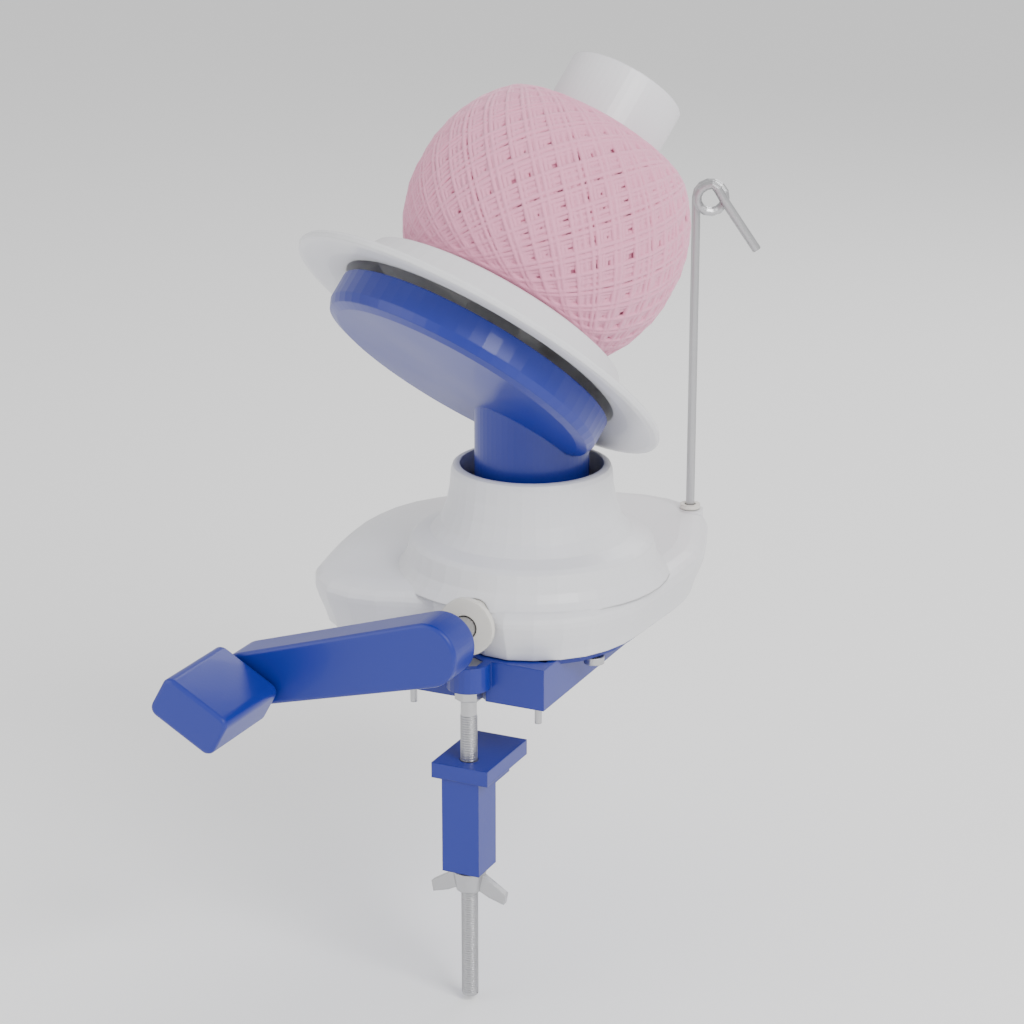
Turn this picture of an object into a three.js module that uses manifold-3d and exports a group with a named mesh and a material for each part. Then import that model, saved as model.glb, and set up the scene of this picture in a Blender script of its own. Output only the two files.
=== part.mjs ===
// Ball winder: a table-clamped, hand-cranked yarn winder. Millimetres, +Z up.
// Origin on the upright main axis, at the flat underside of the gear housing.
import * as THREE from "three";
import { mergeVertices } from "three/addons/utils/BufferGeometryUtils.js";
import Module from "manifold-3d";

const wasm = await Module();
wasm.setup();

const TILT = THREE.MathUtils.degToRad(40);
const LEAN = THREE.MathUtils.degToRad(66);
const N = new THREE.Vector3(
  Math.sin(TILT) * Math.cos(LEAN),
  Math.sin(TILT) * Math.sin(LEAN),
  Math.cos(TILT),
);
const O = new THREE.Vector3(0, 0, 131.6); // where the spindle axis meets the main axis
const CRANK_Z = 25;
const ROD = [0, -46];
const GUIDE = [25, 73];
const ARM_LEN = 64.5;
const ARM_DROP = THREE.MathUtils.degToRad(16);
const RIM_Z = 26.6;

const WHITE = [0xe6e6e8, 0.45, 0];
const BLUE = [0x10239a, 0.4, 0];
const STEEL = [0x9a9a9c, 0.35, 1];
const NYLON = [0xd8d6cc, 0.5, 0];
const PINK = [0xe8b2c8, 0.9, 0];

const group = new THREE.Group();

function solid(geometry) {
  const g = (geometry.index ? geometry.toNonIndexed() : geometry).clone();
  g.deleteAttribute("normal");
  g.deleteAttribute("uv");
  const m = mergeVertices(g, 1e-4);
  return new wasm.Manifold(
    new wasm.Mesh({
      numProp: 3,
      vertProperties: m.attributes.position.array,
      triVerts: new Uint32Array(m.index.array),
    }),
  );
}

function add(name, m, [color, roughness, metalness]) {
  const mesh = m.getMesh();
  const g = new THREE.BufferGeometry()
    .setAttribute("position", new THREE.BufferAttribute(mesh.vertProperties.slice(), 3))
    .setIndex(new THREE.BufferAttribute(mesh.triVerts.slice(), 1));
  const flat = g.toNonIndexed();
  flat.computeVertexNormals();
  const node = new THREE.Mesh(
    flat,
    new THREE.MeshStandardMaterial({ color, roughness, metalness }),
  );
  node.name = name;
  group.add(node);
}

const union = (...a) => a.reduce((x, y) => x.add(y));
const cut = (a, ...b) => b.reduce((x, y) => x.subtract(y), a);

// A turned solid about +Z; points are [radius, height], anticlockwise, closed on themselves or on the axis.
function lathe(points, seg = 48) {
  const p = points.map(([r, z]) => new THREE.Vector2(r, z));
  if (points[0][0] > 0 || points.at(-1)[0] > 0) p.push(p[0].clone());
  const g = new THREE.LatheGeometry(p, seg);
  g.rotateX(Math.PI / 2);
  let m = solid(g);
  if (m.volume() < 0) {
    p.reverse();
    m = solid(new THREE.LatheGeometry(p, seg).rotateX(Math.PI / 2));
  }
  return m;
}
const rod = (r, z0, z1, seg = 24) =>
  lathe([[0, z0], [r, z0], [r, z1], [0, z1]], seg);
const ring = (r0, r1, z0, z1, seg = 28) =>
  lathe([[r0, z0], [r1, z0], [r1, z1], [r0, z1]], seg);
const box = (x0, x1, y0, y1, z0, z1) =>
  solid(
    new THREE.BoxGeometry(x1 - x0, y1 - y0, z1 - z0).translate(
      (x0 + x1) / 2,
      (y0 + y1) / 2,
      (z0 + z1) / 2,
    ),
  );

function matrixOf(origin, z, x) {
  const zz = z.clone().normalize();
  const xx = x.clone().addScaledVector(zz, -x.dot(zz)).normalize();
  const yy = new THREE.Vector3().crossVectors(zz, xx);
  return new THREE.Matrix4().makeBasis(xx, yy, zz).setPosition(origin);
}
const place = (m, origin, z, x = new THREE.Vector3(1, 0, 0.01)) =>
  m.transform(matrixOf(origin, z, x).toArray());
const tilted = (m) => place(m, O, N, new THREE.Vector3(-Math.cos(LEAN), -Math.sin(LEAN), 0));
const onCrank = (m) => place(m, new THREE.Vector3(0, 0, CRANK_Z), new THREE.Vector3(0, -1, 0), new THREE.Vector3(0, 0, 1));

// Rings of [x,y,z] points joined to a closed solid.
function loft(rings) {
  const n = rings[0].length;
  const pos = rings.flat(2);
  const idx = [];
  for (let k = 0; k < rings.length - 1; k++)
    for (let i = 0; i < n; i++) {
      const a = k * n + i, b = k * n + ((i + 1) % n), c = a + n, d = b + n;
      idx.push(a, b, d, a, d, c);
    }
  const cap = (ringIndex, up) => {
    const pts = rings[ringIndex].map(([x, y]) => new THREE.Vector2(x, y));
    for (const [a, b, c] of THREE.ShapeUtils.triangulateShape(pts, [])) {
      const o = ringIndex * n;
      const s = new THREE.Vector2().subVectors(pts[b], pts[a]).cross(new THREE.Vector2().subVectors(pts[c], pts[a])) > 0;
      if (s === up) idx.push(o + a, o + b, o + c);
      else idx.push(o + a, o + c, o + b);
    }
  };
  cap(0, false);
  cap(rings.length - 1, true);
  const g = new THREE.BufferGeometry();
  g.setAttribute("position", new THREE.Float32BufferAttribute(pos, 3));
  g.setIndex(idx);
  return solid(g);
}

// Straight-flanked teeth that taper to the apex. The apex is at the origin and the gear lies at +Z.
function bevel(teeth, half, d0, d1, mod, phase = 0) {
  const t = Math.tan(half), cs = Math.cos(half), sn = Math.sin(half);
  const p = (2 * Math.PI) / teeth;
  const section = (d, hub) => {
    const k = d / d1, r = d * t, a = 0.72 * mod * k, e = 1.1 * mod * k;
    const out = [];
    for (let i = 0; i < teeth; i++)
      for (const [off, h] of [[-0.25, -e], [-0.09, a], [0.09, a], [0.25, -e]]) {
        const q = hub ? -e : h, f = hub ? 0.96 : 1;
        const c = (i + phase + off) * p;
        out.push([(r + q * cs) * f * Math.cos(c), (r + q * cs) * f * Math.sin(c), d - q * sn]);
      }
    return out;
  };
  return loft([section(d0, true), section(d0), section(d1), section(d1, true)]);
}

// ---------- base outline in plan, seen from above, anticlockwise
const SIDES = 44;
const PLAN = new THREE.CatmullRomCurve3(
  [
    [43, 5], [43.5, 36], [37, 58], [31.5, 72], [23, 82], [6, 87], [-14, 83], [-36, 74], [-54, 61], [-67, 43],
    [-71, 22], [-69.5, 4], [-66, -14], [-61, -32], [-50, -42], [-36, -43.5], [-22, -39],
    [-12, -39], [-3, -42.5], [8, -45.5], [22, -41], [34, -31], [41, -16],
  ].map(([x, y]) => new THREE.Vector3(x, y, 0)),
  true,
  "centripetal",
).getSpacedPoints(SIDES).slice(0, SIDES);
const outline = (inset, z) =>
  PLAN.map((p, i) => {
    const a = PLAN[(i + SIDES - 1) % SIDES], b = PLAN[(i + 1) % SIDES];
    const t = new THREE.Vector2(b.x - a.x, b.y - a.y).normalize();
    return [p.x - t.y * inset, p.y + t.x * inset, z];
  });

// ---------- top cover
const SCREWS = [[-47, -28], [30, -19], [-40, 40], [-2, 70]];
let cover = loft([
  outline(4.2, 13.6), outline(3.2, 17), outline(1.2, 22), outline(0.2, 25), outline(0, RIM_Z),
  outline(0.5, 28), outline(2.2, 29.4), outline(5, 30.2), outline(9, 30.8),
]);
cover = union(cover, lathe([
  [0, 29], [44, 29], [41.5, 31.5], [39.8, 34], [39, 37.5], [38.6, 39.5], [37, 40.8], [32, 42.5],
  [28.8, 46], [27, 51], [25.8, 57], [25.4, 62], [24.8, 63.6], [23.8, 64], [0, 64],
], 40));
cover = cut(cover,
  loft([outline(6.7, 13), outline(3.8, 22), outline(2.8, 25.5), outline(8, 28), outline(12, 28.2)]),
  lathe([[0, 27], [37, 27], [37, 37.5], [35, 38.6], [30, 40.4], [26.4, 44.8], [24.4, 51], [23, 58], [22.6, 65], [0, 65]], 40),
  onCrank(rod(7, 34, 52)),
);
cover = union(cover, ...SCREWS.map(([x, y]) => rod(3.2, 15.2, 29, 16).translate([x, y, 0])));
cover = cut(cover, ...SCREWS.map(([x, y]) => rod(1.7, 12, 19, 16).translate([x, y, 0])));
cover = union(cover, rod(4.4, 15, 30.8).translate([GUIDE[0], GUIDE[1], 0]));
cover = cut(cover, rod(1.8, 16.5, 40, 20).translate([GUIDE[0], GUIDE[1], 0]));
add("top_cover", cover, WHITE);

const hex = (r, z0, z1) => lathe([[0, z0], [r, z0], [r, z1], [0, z1]], 6);

// ---------- bottom housing with the gear pocket and the rod lug
let bottom = union(
  loft([outline(7.2, 11), outline(7.2, 14.6)]),
  box(-24, 24, -43.5, 20, 0, 13.2),
  rod(6.8, 5, 13.2).translate([ROD[0], ROD[1], 0]),
);
bottom = cut(bottom,
  box(-21.8, 21.8, -37, 8, 2.2, 20),
  hex(4.5, 9.7, 20).translate([ROD[0], ROD[1], 0]),
  rod(5.2, -1, 4.95).translate([ROD[0], ROD[1], 0]),
  rod(2.8, -1, 20).translate([ROD[0], ROD[1], 0]),
);
bottom = union(bottom, rod(4.4, 0, 9));
bottom = cut(bottom,
  rod(3.3, 1.9, 20),
  ...SCREWS.map(([x, y]) => rod(1.9, 8, 20, 20).translate([x, y, 0])),
  ...[-23.6, 23.6].map((x) => rod(1.4, -1, 5, 16).translate([x * 0.9, -41.3, 0])),
);
add("bottom_housing", bottom, BLUE);
[-1, 1].forEach((s, i) =>
  add("locating_pin_" + (i + 1), rod(1.1, -5, 4.6, 20).translate([s * 21.24, -41.3, 0]), STEEL));
SCREWS.forEach(([x, y], i) =>
  add("cover_screw_" + (i + 1),
    union(rod(3.2, 8.4, 10.7, 20), rod(1.5, 10, 17, 16)).translate([x, y, 0]), STEEL));
add("guide_socket", ring(1.9, 3.4, 31.1, 32.5, 24).translate([GUIDE[0], GUIDE[1], 0]), NYLON);

// ---------- axle, sun gear, clamp rod
add("main_axle", union(rod(3, 2.2, 94, 28)), STEEL);
const sunAxis = new THREE.Vector3(0, 0, -1);
const toward = new THREE.Vector3(-Math.cos(LEAN), -Math.sin(LEAN), 0);
const G1 = THREE.MathUtils.degToRad(7.96), G2 = THREE.MathUtils.degToRad(32.04);
add("sun_gear", cut(place(bevel(12, G1, 39.8, 45.2, 1.02, 0), O, sunAxis, toward), rod(3.3, 80, 100)), NYLON);

add("clamp_rod", union(rod(2.5, -99, 11, 28), hex(4.1, 10, 13)).translate([ROD[0], ROD[1], 0]), STEEL);
add("rod_nut", cut(hex(4.3, 1.2, 4.7), rod(2.7, 0, 20, 28)).translate([ROD[0], ROD[1], 0]), STEEL);

// ---------- crank
add("crank_bush", onCrank(cut(union(rod(6.7, 36, 46.5), rod(9, 46, 48.2)), rod(3.8, 30, 60))), NYLON);
add("crank_shaft", onCrank(union(rod(3.5, 10.5, 61.1), rod(2.6, 60, 74))), STEEL);
add("crank_gear", onCrank(cut(
  union(bevel(42, Math.atan(3), 5.3, 7, 1, 0), rod(19.4, 7.6, 10.6, 42), rod(8, 10, 17)),
  rod(3.8, 10.2, 30))), NYLON);
const armDir = new THREE.Vector3(-Math.cos(ARM_DROP), 0, -Math.sin(ARM_DROP));
const armEnd = armDir.clone().multiplyScalar(ARM_LEN).add(new THREE.Vector3(0, 0, CRANK_Z));
const outwards = new THREE.Vector3(0, -1, 0);
function armSolid() {
  const s = new THREE.Shape();
  s.absarc(0, 0, 10, -Math.PI / 2, Math.PI / 2, false);
  s.absarc(ARM_LEN * -1, 0, 8.6, Math.PI / 2, (3 * Math.PI) / 2, false);
  s.closePath();
  const g = new THREE.ExtrudeGeometry(s, { depth: 12, curveSegments: 14, bevelEnabled: true, bevelThickness: 1, bevelSize: 1, bevelOffset: -1, bevelSegments: 2 });
  return solid(g);
}
const armX = armDir.clone().negate();
let arm = place(armSolid(), new THREE.Vector3(0, -62.5, CRANK_Z), outwards, armX);
arm = cut(arm,
  onCrank(rod(2.9, 50, 74.3)),
  rod(2, 10, 24, 16).translate([0, -68, 0]),
  place(rod(2.4, -5, 40, 20), new THREE.Vector3(armEnd.x, -62.5, armEnd.z), outwards),
);
add("crank_arm", arm, BLUE);
add("crank_screw", cut(rod(1.8, 15.6, 22.1, 16), box(-0.4, 0.4, -3, 3, 15, 16.3)).translate([0, -68, 0]), STEEL);
const onGrip = (m) => place(m, new THREE.Vector3(armEnd.x, 0, armEnd.z), outwards);
add("grip_pin", onGrip(union(rod(2.1, 62, 104, 24), rod(3.2, 103, 105, 24))), STEEL);
function gripSolid() {
  const s = new THREE.Shape();
  const w = 12, h = 7, r = 3;
  s.moveTo(-w + r, -h); s.lineTo(w - r, -h); s.absarc(w - r, -h + r, r, -Math.PI / 2, 0, false);
  s.lineTo(w, h - r); s.absarc(w - r, h - r, r, 0, Math.PI / 2, false);
  s.lineTo(-w + r, h); s.absarc(-w + r, h - r, r, Math.PI / 2, Math.PI, false);
  s.lineTo(-w, -h + r); s.absarc(-w + r, -h + r, r, Math.PI, 1.5 * Math.PI, false);
  return solid(new THREE.ExtrudeGeometry(s, { depth: 29, curveSegments: 6, bevelEnabled: true, bevelThickness: 1, bevelSize: 1, bevelOffset: -1, bevelSegments: 2 }));
}
let grip = cut(gripSolid().rotate([0, 0, -30]).translate([0, 0, 78.2]), rod(2.5, 70, 103.2, 24), rod(3.6, 102.5, 105.5, 24));
add("crank_grip", onGrip(grip), BLUE);

// ---------- jaw and wing nut
let jaw = union(
  box(-9.5, 9.5, -53, -24, -24, -19),
  box(-6.25, 6.25, -52.5, -30, -28, -23),
  box(-6.25, 6.25, -52.5, -40, -55, -22),
);
const gusset = (() => {
  const s = new THREE.Shape([new THREE.Vector2(-42, -25), new THREE.Vector2(-42, -46), new THREE.Vector2(-31, -25)]);
  const g = new THREE.ExtrudeGeometry(s, { depth: 5, bevelEnabled: false });
  g.applyMatrix4(new THREE.Matrix4().set(0, 0, 1, -2.5, 1, 0, 0, 0, 0, 1, 0, 0, 0, 0, 0, 1));
  return solid(g);
})();
jaw = union(jaw, gusset);
jaw = cut(jaw, rod(2.9, -60, 0).translate([ROD[0], ROD[1], 0]));
add("clamp_jaw", jaw, BLUE);
const wingShape = new THREE.Shape([
  new THREE.Vector2(-4, -56.4), new THREE.Vector2(4, -56.4), new THREE.Vector2(12.8, -62), new THREE.Vector2(12.2, -65.5),
  new THREE.Vector2(7, -64), new THREE.Vector2(4, -62.5), new THREE.Vector2(-4, -62.5), new THREE.Vector2(-7, -64),
  new THREE.Vector2(-12.2, -65.5), new THREE.Vector2(-12.8, -62),
].reverse());
const wings = solid(new THREE.ExtrudeGeometry(wingShape, { depth: 2.2, bevelEnabled: false })
  .translate(0, 0, -1.1).applyMatrix4(new THREE.Matrix4().set(1, 0, 0, 0, 0, 0, -1, 0, 0, 1, 0, 0, 0, 0, 0, 1)));
add("wing_nut", cut(union(lathe([[0, -62.5], [4.2, -62.5], [5.4, -56], [0, -56]], 32), wings), rod(2.75, -70, -50)).translate([ROD[0], ROD[1], 0]), STEEL);

// ---------- head: neck, drum, pinion, bushes, spindle
let head = union(cut(rod(18, 50, 90, 56), tilted(rod(80, -36.8, 0))), tilted(union(
  lathe([[0, -47.6], [41.5, -47.6], [44.6, -46.6], [45.8, -44], [45.8, -36.2], [0, -36.2]], 64))));
head = cut(head,
  tilted(rod(43.3, -45, -20, 48)),
  rod(13.5, 56, 66, 40),
  rod(5.3, 40, 110, 32),
);
head = union(head, cut(tilted(rod(6.5, -46, -40.4)), rod(5.3, 40, 110)));
head = cut(head, tilted(rod(3.2, -46.9, -30, 28)));
add("rotor_housing", head, BLUE);
const z0 = CRANK_Z;
add("drive_pinion", cut(union(
  place(bevel(14, Math.atan(1 / 3), 15.4, 21, 1, 0.5), new THREE.Vector3(0, 0, z0), new THREE.Vector3(0, 0, 1), new THREE.Vector3(0, -1, 0)),
  rod(5.5, z0 + 21, z0 + 22), rod(9.5, z0 + 21.8, 49.6)), rod(3.3, 30, 60)), NYLON);
add("lower_bush", ring(3.3, 5, 50.2, 55.6), NYLON);
add("upper_bush", ring(3.3, 5, 66.4, 69.6), NYLON);
add("spindle_shaft", tilted(rod(2.9, -46.6, 55.5, 28)), STEEL);
add("spindle_washer", tilted(ring(3.2, 6, -40, -39.5)), STEEL);
add("spindle_retainer", tilted(cut(rod(5.2, 50, 54, 6), rod(3.2, 40, 70))), STEEL);

// ---------- spool: flange, gear, tube, bearing
const flange = lathe([
  [3.3, -33], [9, -33], [9, -24.4], [37, -24.2], [40.5, -25.4], [46.4, -33.4], [52, -34.6], [60, -35.3], [62, -35.1],
  [62.5, -34], [62, -32.9], [60, -33], [52.5, -32.4], [48, -31], [42.4, -22.6], [40, -21.8], [16.2, -21.8], [16.2, -16], [13, -16], [13, -21.8], [3.3, -21.8],
], 56);
add("flange_disc", tilted(flange), WHITE);
const gearDown = N.clone().negate();
add("spool_gear", cut(
  place(bevel(46, G2, 34.1, 38.8, 1.04, 0.5), O, gearDown, new THREE.Vector3(0, 0, -1)),
  tilted(rod(3.3, -60, 0))), NYLON);
add("spool_tube", tilted(ring(16.8, 18.9, -21.4, 60, 56)), WHITE);
add("tube_bearing", tilted(cut(rod(16.5, 44, 49, 36), rod(3.3, 40, 60))), NYLON);
const ball = [];
for (let i = 0; i <= 14; i++) {
  const s = -21.2 + (61.2 * i) / 14;
  const q = (s - 9) / 42;
  ball.push([Math.max(20, 42 * Math.sqrt(Math.max(0, 1 - Math.abs(q) ** 2.15))), s]);
}
add("yarn_ball", tilted(lathe([[19.2, -21.2], ...ball, [19.2, 40]], 36)), PINK);

// ---------- yarn guide: wire, one coiled eye and a tail
const RX = Math.cos(THREE.MathUtils.degToRad(25)), RY = Math.sin(THREE.MathUtils.degToRad(25));
const wirePts = [];
const at = (x, y, z) => new THREE.Vector3(GUIDE[0] + x * RX + y * RY, GUIDE[1] + x * RY - y * RX, z);
for (let z = 17; z <= 130; z += 22) wirePts.push(at(0, 0, z));
for (let i = 0; i <= 22; i++) {
  const a = Math.PI - (i / 22) * Math.PI * 2.55;
  wirePts.push(at(4.6 + 4.6 * Math.cos(a), (4.4 * i) / 22, 137 + 4.6 * Math.sin(a)));
}
const last = wirePts.at(-1);
for (let i = 1; i <= 4; i++)
  wirePts.push(last.clone().add(new THREE.Vector3(RX * 0.56, RY * 0.56, -0.83).multiplyScalar(6.4 * i)));
const circle = new THREE.Shape();
circle.absarc(0, 0, 1.5, 0, 2 * Math.PI, false);
add("yarn_guide", solid(new THREE.ExtrudeGeometry(circle, {
  steps: 84, curveSegments: 4, bevelEnabled: false,
  extrudePath: new THREE.CatmullRomCurve3(wirePts, false, "centripetal"),
})), STEEL);

export default group;
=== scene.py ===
import math
import random
import bpy
from mathutils import Matrix, Vector

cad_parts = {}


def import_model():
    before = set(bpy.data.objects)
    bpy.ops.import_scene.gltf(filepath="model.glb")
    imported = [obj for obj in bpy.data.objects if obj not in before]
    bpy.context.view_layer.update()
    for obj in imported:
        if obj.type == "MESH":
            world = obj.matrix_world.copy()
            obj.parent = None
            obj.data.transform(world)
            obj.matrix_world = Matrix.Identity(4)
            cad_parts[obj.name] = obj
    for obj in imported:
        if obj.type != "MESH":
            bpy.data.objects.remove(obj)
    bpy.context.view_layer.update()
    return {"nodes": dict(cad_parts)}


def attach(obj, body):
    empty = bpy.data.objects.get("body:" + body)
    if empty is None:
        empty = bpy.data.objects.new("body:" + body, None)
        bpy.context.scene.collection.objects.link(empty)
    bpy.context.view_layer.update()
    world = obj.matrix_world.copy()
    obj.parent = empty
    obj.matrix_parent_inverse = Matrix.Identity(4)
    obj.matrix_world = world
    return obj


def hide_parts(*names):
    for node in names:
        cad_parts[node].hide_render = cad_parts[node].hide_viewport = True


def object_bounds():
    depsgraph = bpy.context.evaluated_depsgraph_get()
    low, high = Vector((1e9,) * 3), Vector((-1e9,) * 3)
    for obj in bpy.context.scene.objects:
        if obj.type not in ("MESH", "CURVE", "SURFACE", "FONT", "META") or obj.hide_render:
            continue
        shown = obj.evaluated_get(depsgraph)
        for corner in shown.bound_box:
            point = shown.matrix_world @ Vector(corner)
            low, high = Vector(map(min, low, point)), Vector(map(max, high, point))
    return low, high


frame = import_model()
nodes = frame["nodes"]

TILT, LEAN = math.radians(40), math.radians(66)
N = Vector((math.sin(TILT) * math.cos(LEAN), math.sin(TILT) * math.sin(LEAN), math.cos(TILT)))
O = Vector((0, 0, 0.1316))


def material(name, color, rough, metal=0.0, grain=0.0, scale=400.0, sheen=0.0, coat=0.0):
    m = bpy.data.materials.new(name)
    m.use_nodes = True
    nt = m.node_tree
    b = nt.nodes["Principled BSDF"]
    b.inputs["Metallic"].default_value = metal
    b.inputs["Sheen Weight"].default_value = sheen
    b.inputs["Coat Weight"].default_value = coat
    co = nt.nodes.new("ShaderNodeTexCoord")
    noise = nt.nodes.new("ShaderNodeTexNoise")
    noise.inputs["Scale"].default_value = scale
    noise.inputs["Detail"].default_value = 4
    nt.links.new(co.outputs["Object"], noise.inputs["Vector"])
    broad = nt.nodes.new("ShaderNodeTexNoise")
    broad.inputs["Scale"].default_value = 28
    nt.links.new(co.outputs["Object"], broad.inputs["Vector"])
    ramp = nt.nodes.new("ShaderNodeMapRange")
    ramp.inputs["To Min"].default_value = rough - 0.06
    ramp.inputs["To Max"].default_value = rough + 0.08
    nt.links.new(broad.outputs["Fac"], ramp.inputs["Value"])
    nt.links.new(ramp.outputs["Result"], b.inputs["Roughness"])
    mix = nt.nodes.new("ShaderNodeMix")
    mix.data_type = "RGBA"
    mix.inputs["A"].default_value = (*[c * 0.93 for c in color], 1)
    mix.inputs["B"].default_value = (*[min(1, c * 1.05) for c in color], 1)
    nt.links.new(broad.outputs["Fac"], mix.inputs["Factor"])
    nt.links.new(mix.outputs["Result"], b.inputs["Base Color"])
    bevel = nt.nodes.new("ShaderNodeBevel")
    bevel.samples = 4
    bevel.inputs["Radius"].default_value = 0.0007
    bump = nt.nodes.new("ShaderNodeBump")
    bump.inputs["Strength"].default_value = grain
    bump.inputs["Distance"].default_value = 0.0002
    nt.links.new(noise.outputs["Fac"], bump.inputs["Height"])
    nt.links.new(bevel.outputs["Normal"], bump.inputs["Normal"])
    nt.links.new(bump.outputs["Normal"], b.inputs["Normal"])
    return m


white = material("white_moulding", (0.74, 0.74, 0.76), 0.38, grain=0.12, scale=900, coat=0.1)
blue = material("blue_moulding", (0.006, 0.018, 0.25), 0.36, grain=0.1, scale=900, coat=0.12)
steel = material("bright_steel", (0.50, 0.50, 0.51), 0.33, 1.0, grain=0.15, scale=1500)
nylon = material("nylon", (0.72, 0.70, 0.64), 0.45, grain=0.1)
yarn = material("pink_yarn", (0.80, 0.33, 0.48), 0.85, grain=0.9, scale=2600, sheen=0.35)
# the core colour is a darker copy of the pink yarn: painted shade for the windings seen in the gaps
# between strands
core = material("yarn_core_painted_shade", (0.66, 0.26, 0.39), 0.9, grain=0.9, scale=1600, sheen=0.2)

BLUE = {"bottom_housing", "crank_arm", "crank_grip", "clamp_jaw", "rotor_housing"}
WHITE = {"top_cover", "flange_disc", "spool_tube"}
NYLON = {"guide_socket", "sun_gear", "crank_bush", "crank_gear", "drive_pinion", "lower_bush", "upper_bush", "spool_gear", "tube_bearing"}
for name, ob in nodes.items():
    m = blue if name in BLUE else white if name in WHITE else nylon if name in NYLON else core if name == "yarn_ball" else steel
    ob.data.materials.clear()
    ob.data.materials.append(m)
    for p in ob.data.polygons:
        p.material_index = 0

# ---- the yarn: strands laid criss-cross over a core, in the spool's own axes
e1 = Vector((-math.cos(LEAN), -math.sin(LEAN), 0))
e1 = (e1 - N * e1.dot(N)).normalized()
e2 = N.cross(e1)


def ball_radius(s):
    q = abs((s - 9) / 42)
    return max(20.0, 42 * math.sqrt(max(0.0, 1 - q ** 2.15)))


def world(r, a, s):
    return O + (e1 * math.cos(a) * r + e2 * math.sin(a) * r + N * s) / 1000


random.seed(7)
cu = bpy.data.curves.new("yarn_windings", "CURVE")
cu.dimensions = "3D"
cu.bevel_depth = 0.00078
cu.bevel_resolution = 2
cu.use_fill_caps = True
S0, S1 = -19.0, 38.5
LAPS, STEPS = 150, 34
for layer in range(3):
    pts = []
    for k in range(LAPS * STEPS // 3 + 1):
        t = k / STEPS
        a = 2 * math.pi * t * (1 + 0.0)
        # each lap goes down one side of the ball and up the other; the lap's own plane turns slowly
        turn = 2 * math.pi * (t * 0.618 / 1.0 + layer / 3)
        sw = math.sin(a)
        s = (S0 + S1) / 2 + (S1 - S0) / 2 * sw
        ang = a * 0.5 + turn * 0.13 + layer * 2.1
        r = ball_radius(s) + 0.25 + 0.35 * layer + 0.12 * math.sin(k * 1.7 + layer)
        pts.append(world(r, ang, s))
    sp = cu.splines.new("POLY")
    sp.points.add(len(pts) - 1)
    for p, q in zip(sp.points, pts):
        p.co = (*q, 1)
wind = bpy.data.objects.new("yarn_windings", cu)
bpy.context.scene.collection.objects.link(wind)
cu.materials.append(yarn)
# the core keeps the ball closed under the strands; its darker pink is painted shade for the deeper
# windings seen between them
me = nodes["yarn_ball"].data.copy()
body = bpy.data.objects.new("yarn_core_painted_shade", me)
bpy.context.scene.collection.objects.link(body)
body.matrix_world = nodes["yarn_ball"].matrix_world.copy()
me.materials.clear()
me.materials.append(core)
for p in me.polygons:
    p.use_smooth = True
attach(body, "ball")
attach(wind, "ball")
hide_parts("yarn_ball")

# ---- a real thread on the clamp rod
th = bpy.data.curves.new("rod_thread", "CURVE")
th.dimensions = "3D"
th.bevel_depth = 0.00022
sp = th.splines.new("POLY")
turns, seg = 118, 20
sp.points.add(turns * seg)
for i in range(turns * seg + 1):
    a = 2 * math.pi * i / seg
    z = -0.0985 + 0.0008 * i / seg
    sp.points[i].co = (0.00248 * math.cos(a), -0.046 + 0.00248 * math.sin(a), z, 1)
tr = bpy.data.objects.new("rod_thread", th)
bpy.context.scene.collection.objects.link(tr)
th.materials.append(steel)
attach(tr, "base")

lo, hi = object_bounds()

# ---- camera, floor and light
scene = bpy.context.scene
AZ, EL, D = math.radians(25), math.radians(18), 0.9
right = Vector((math.cos(AZ), math.sin(AZ), 0))
fwd = -Vector((math.sin(AZ) * math.cos(EL), -math.cos(AZ) * math.cos(EL), math.sin(EL)))
up = right.cross(fwd)
cam_data = bpy.data.cameras.new("camera")
cam_data.sensor_width = 36
cam_data.lens = 36 * 2812 / 1024
cam_data.clip_start = 0.05
cam = bpy.data.objects.new("camera", cam_data)
scene.collection.objects.link(cam)
cam.location = Vector((0.3502, -0.7657, 0.3211))
cam.rotation_euler = Matrix((right, up, -fwd)).transposed().to_euler()
scene.camera = cam

fm = bpy.data.meshes.new("floor")
fz = lo.z - 0.002
fm.from_pydata([(-3, -3, fz), (3, -3, fz), (3, 3, fz), (-3, 3, fz)], [], [(0, 1, 2, 3)])
floor = bpy.data.objects.new("floor", fm)
scene.collection.objects.link(floor)
floor_mat = bpy.data.materials.new("floor")
floor_mat.use_nodes = True
floor_mat.node_tree.nodes["Principled BSDF"].inputs["Base Color"].default_value = (0.95, 0.95, 0.95, 1)
floor_mat.node_tree.nodes["Principled BSDF"].inputs["Roughness"].default_value = 0.9
fm.materials.append(floor_mat)
world_data = bpy.data.worlds.new("world")
world_data.use_nodes = True
world_data.node_tree.nodes["Background"].inputs["Color"].default_value = (1, 1, 1, 1)
world_data.node_tree.nodes["Background"].inputs["Strength"].default_value = 0.9
scene.world = world_data


def area(name, pos, size, power):
    d = bpy.data.lights.new(name, "AREA")
    d.size = size
    d.energy = power
    o = bpy.data.objects.new(name, d)
    scene.collection.objects.link(o)
    o.location = pos
    o.rotation_euler = (Vector((0, 0, 0.06)) - Vector(pos)).to_track_quat("-Z", "Y").to_euler()
    return o


lamps = [
    area("key", (0.75, -0.45, 0.75), 0.5, 10),
    area("fill", (-0.7, -0.8, 0.35), 0.8, 3),
    area("back", (0.1, 0.9, 0.8), 0.6, 5),
]
